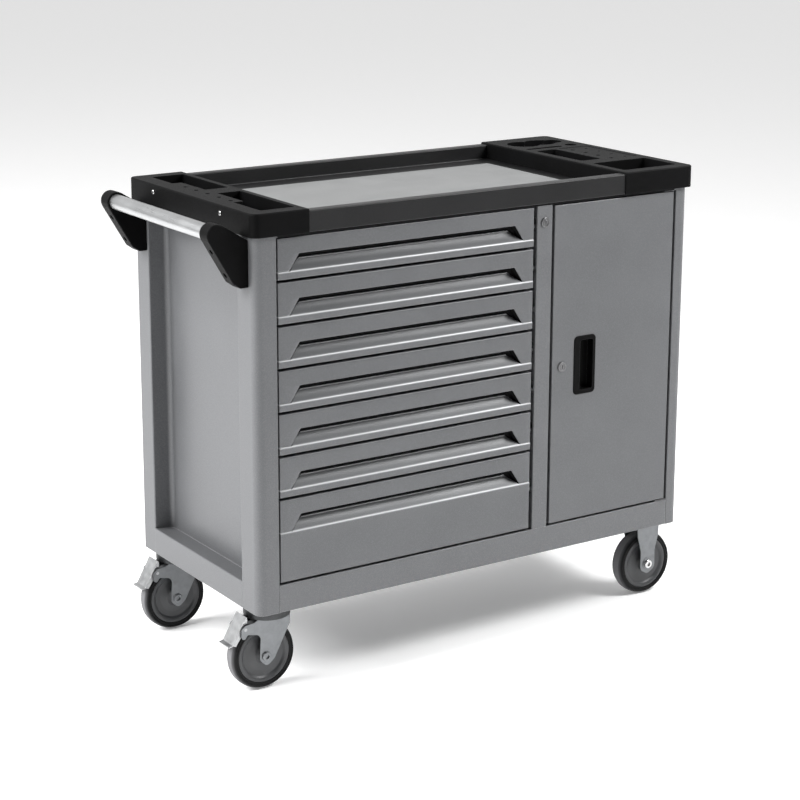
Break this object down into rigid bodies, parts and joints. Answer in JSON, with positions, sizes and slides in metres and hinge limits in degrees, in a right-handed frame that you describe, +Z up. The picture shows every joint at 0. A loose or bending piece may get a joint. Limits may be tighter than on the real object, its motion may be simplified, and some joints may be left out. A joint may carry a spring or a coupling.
{
  "type": "rolling tool chest",
  "caption": "Low sheet-metal tool chest on casters, with a bank of drawers, a side cupboard, a rimmed worktop between moulded end trays, and a tubular push handle.",
  "frame": {"origin": "bottom centre of the whole object's bounding box, on the floor", "axes": "+X to the right along the front, +Y from the drawer fronts to the back, +Z up"},
  "size_m": [1.0305, 0.451, 0.85],
  "materials": {
    "cabinet_paint": "satin powder coat",
    "front_paint": "satin powder coat",
    "drawer_paint": "satin powder coat",
    "zinc_steel": "zinc plated",
    "black_paint": "fine-textured black powder coat",
    "grey_mat": "matt ribbed",
    "black_plastic": "fine moulded grain",
    "satin_aluminium": "satin anodised",
    "bright_steel": "bright plated",
    "pressed_zinc": "zinc plated pressing",
    "pedal_steel": "bright zinc",
    "tyre_rubber": "matt",
    "hub_plastic": "fine moulded grain"
  },
  "bodies": {
    "cabinet": {"side_panel_left": "cabinet_paint", "side_panel_right": "cabinet_paint", "front_frame": "cabinet_paint", "floor_pan": "cabinet_paint", "back_panel": "cabinet_paint", "centre_partition": "cabinet_paint", "cupboard_shelf": "cabinet_paint", "top_pan": "black_paint", "worktop_mat": "grey_mat", "end_tray_left": "black_plastic", "end_tray_right": "black_plastic", "tray_screws": "bright_steel", "handle_brackets": "black_plastic", "handle_tube": "satin_aluminium", "handle_screws": "bright_steel", "outer_slides": "zinc_steel", "hinge_brackets": "cabinet_paint", "swivel_plates": "pressed_zinc", "rigid_forks": "pressed_zinc", "rigid_axles": "bright_steel", "caster_bolts": "bright_steel"},
    "drawer_1": {"drawer_1_front": "front_paint", "drawer_1_box": "drawer_paint"},
    "drawer_1_runner": {"drawer_1_middle_slides": "zinc_steel"},
    "drawer_2": {"drawer_2_front": "front_paint", "drawer_2_box": "drawer_paint"},
    "drawer_2_runner": {"drawer_2_middle_slides": "zinc_steel"},
    "drawer_3": {"drawer_3_front": "front_paint", "drawer_3_box": "drawer_paint"},
    "drawer_3_runner": {"drawer_3_middle_slides": "zinc_steel"},
    "drawer_4": {"drawer_4_front": "front_paint", "drawer_4_box": "drawer_paint"},
    "drawer_4_runner": {"drawer_4_middle_slides": "zinc_steel"},
    "drawer_5": {"drawer_5_front": "front_paint", "drawer_5_box": "drawer_paint"},
    "drawer_5_runner": {"drawer_5_middle_slides": "zinc_steel"},
    "drawer_6": {"drawer_6_front": "front_paint", "drawer_6_box": "drawer_paint"},
    "drawer_6_runner": {"drawer_6_middle_slides": "zinc_steel"},
    "drawer_7": {"drawer_7_front": "front_paint", "drawer_7_box": "drawer_paint"},
    "drawer_7_runner": {"drawer_7_middle_slides": "zinc_steel"},
    "door": {"door_panel": "front_paint", "door_handle_cup": "black_plastic", "hinge_pins": "bright_steel"},
    "door_lock": {"door_lock": "bright_steel"},
    "main_lock": {"main_lock": "bright_steel"},
    "lock_bar": {"lock_bar": "zinc_steel"},
    "caster_front_left": {"swivel_fork_front": "pressed_zinc"},
    "wheel_front_left": {"tyre_front_left": "tyre_rubber", "hub_front_left": "hub_plastic"},
    "pedal_front": {"brake_pedal_front": "pedal_steel"},
    "wheel_front_right": {"tyre_front_right": "tyre_rubber", "hub_front_right": "hub_plastic"},
    "caster_rear_left": {"swivel_fork_rear": "pressed_zinc"},
    "wheel_rear_left": {"tyre_rear_left": "tyre_rubber", "hub_rear_left": "hub_plastic"},
    "pedal_rear": {"brake_pedal_rear": "pedal_steel"},
    "wheel_rear_right": {"tyre_rear_right": "tyre_rubber", "hub_rear_right": "hub_plastic"}
  },
  "joints": [
    {"name": "drawer_1_slide", "type": "slide", "parent": "cabinet", "child": "drawer_1", "axis": [0, -1, 0], "range_m": [0, 0.38]},
    {"name": "drawer_1_runner_slide", "type": "slide", "parent": "cabinet", "child": "drawer_1_runner", "axis": [0, -1, 0], "range_m": [0, 0.19]},
    {"name": "drawer_2_slide", "type": "slide", "parent": "cabinet", "child": "drawer_2", "axis": [0, -1, 0], "range_m": [0, 0.38]},
    {"name": "drawer_2_runner_slide", "type": "slide", "parent": "cabinet", "child": "drawer_2_runner", "axis": [0, -1, 0], "range_m": [0, 0.19]},
    {"name": "drawer_3_slide", "type": "slide", "parent": "cabinet", "child": "drawer_3", "axis": [0, -1, 0], "range_m": [0, 0.38]},
    {"name": "drawer_3_runner_slide", "type": "slide", "parent": "cabinet", "child": "drawer_3_runner", "axis": [0, -1, 0], "range_m": [0, 0.19]},
    {"name": "drawer_4_slide", "type": "slide", "parent": "cabinet", "child": "drawer_4", "axis": [0, -1, 0], "range_m": [0, 0.38]},
    {"name": "drawer_4_runner_slide", "type": "slide", "parent": "cabinet", "child": "drawer_4_runner", "axis": [0, -1, 0], "range_m": [0, 0.19]},
    {"name": "drawer_5_slide", "type": "slide", "parent": "cabinet", "child": "drawer_5", "axis": [0, -1, 0], "range_m": [0, 0.38]},
    {"name": "drawer_5_runner_slide", "type": "slide", "parent": "cabinet", "child": "drawer_5_runner", "axis": [0, -1, 0], "range_m": [0, 0.19]},
    {"name": "drawer_6_slide", "type": "slide", "parent": "cabinet", "child": "drawer_6", "axis": [0, -1, 0], "range_m": [0, 0.38]},
    {"name": "drawer_6_runner_slide", "type": "slide", "parent": "cabinet", "child": "drawer_6_runner", "axis": [0, -1, 0], "range_m": [0, 0.19]},
    {"name": "drawer_7_slide", "type": "slide", "parent": "cabinet", "child": "drawer_7", "axis": [0, -1, 0], "range_m": [0, 0.38]},
    {"name": "drawer_7_runner_slide", "type": "slide", "parent": "cabinet", "child": "drawer_7_runner", "axis": [0, -1, 0], "range_m": [0, 0.19]},
    {"name": "door_hinge", "type": "hinge", "parent": "cabinet", "child": "door", "pos_m": [0.44375, -0.21, 0.2088], "axis": [0, 0, 1], "range_deg": [0, 105]},
    {"name": "door_lock_turn", "type": "hinge", "parent": "door", "child": "door_lock", "pos_m": [0.19625, -0.218, 0.5045], "axis": [0, 1, 0], "range_deg": [0, 90]},
    {"name": "main_lock_turn", "type": "hinge", "parent": "cabinet", "child": "main_lock", "pos_m": [0.15235, -0.218, 0.7755], "axis": [0, 1, 0], "range_deg": [0, 90]},
    {"name": "lock_bar_lift", "type": "slide", "parent": "cabinet", "child": "lock_bar", "axis": [0, 0, 1], "range_m": [0, 0.008]},
    {"name": "caster_front_left_swivel", "type": "hinge", "parent": "cabinet", "child": "caster_front_left", "pos_m": [-0.38825, -0.153, 0.14], "axis": [0, 0, 1], "continuous": true},
    {"name": "wheel_front_left_spin", "type": "hinge", "parent": "caster_front_left", "child": "wheel_front_left", "pos_m": [-0.40225, -0.153, 0.0625], "axis": [0, 1, 0], "continuous": true},
    {"name": "brake_pedal_front_lift", "type": "hinge", "parent": "caster_front_left", "child": "pedal_front", "pos_m": [-0.44225, -0.153, 0.119], "axis": [0, 1, 0], "range_deg": [0, 16]},
    {"name": "wheel_front_right_spin", "type": "hinge", "parent": "cabinet", "child": "wheel_front_right", "pos_m": [0.45275, -0.153, 0.0625], "axis": [0, 1, 0], "continuous": true},
    {"name": "caster_rear_left_swivel", "type": "hinge", "parent": "cabinet", "child": "caster_rear_left", "pos_m": [-0.38825, 0.178, 0.14], "axis": [0, 0, 1], "continuous": true},
    {"name": "wheel_rear_left_spin", "type": "hinge", "parent": "caster_rear_left", "child": "wheel_rear_left", "pos_m": [-0.40225, 0.178, 0.0625], "axis": [0, 1, 0], "continuous": true},
    {"name": "brake_pedal_rear_lift", "type": "hinge", "parent": "caster_rear_left", "child": "pedal_rear", "pos_m": [-0.44225, 0.178, 0.119], "axis": [0, 1, 0], "range_deg": [0, 16]},
    {"name": "wheel_rear_right_spin", "type": "hinge", "parent": "cabinet", "child": "wheel_rear_right", "pos_m": [0.45275, 0.178, 0.0625], "axis": [0, 1, 0], "continuous": true}
  ],
  "couplings": [
    {"joint": "drawer_1_runner_slide", "follows": "drawer_1_slide", "ratio": 0.5},
    {"joint": "drawer_2_runner_slide", "follows": "drawer_2_slide", "ratio": 0.5},
    {"joint": "drawer_3_runner_slide", "follows": "drawer_3_slide", "ratio": 0.5},
    {"joint": "drawer_4_runner_slide", "follows": "drawer_4_slide", "ratio": 0.5},
    {"joint": "drawer_5_runner_slide", "follows": "drawer_5_slide", "ratio": 0.5},
    {"joint": "drawer_6_runner_slide", "follows": "drawer_6_slide", "ratio": 0.5},
    {"joint": "drawer_7_runner_slide", "follows": "drawer_7_slide", "ratio": 0.5}
  ]
}
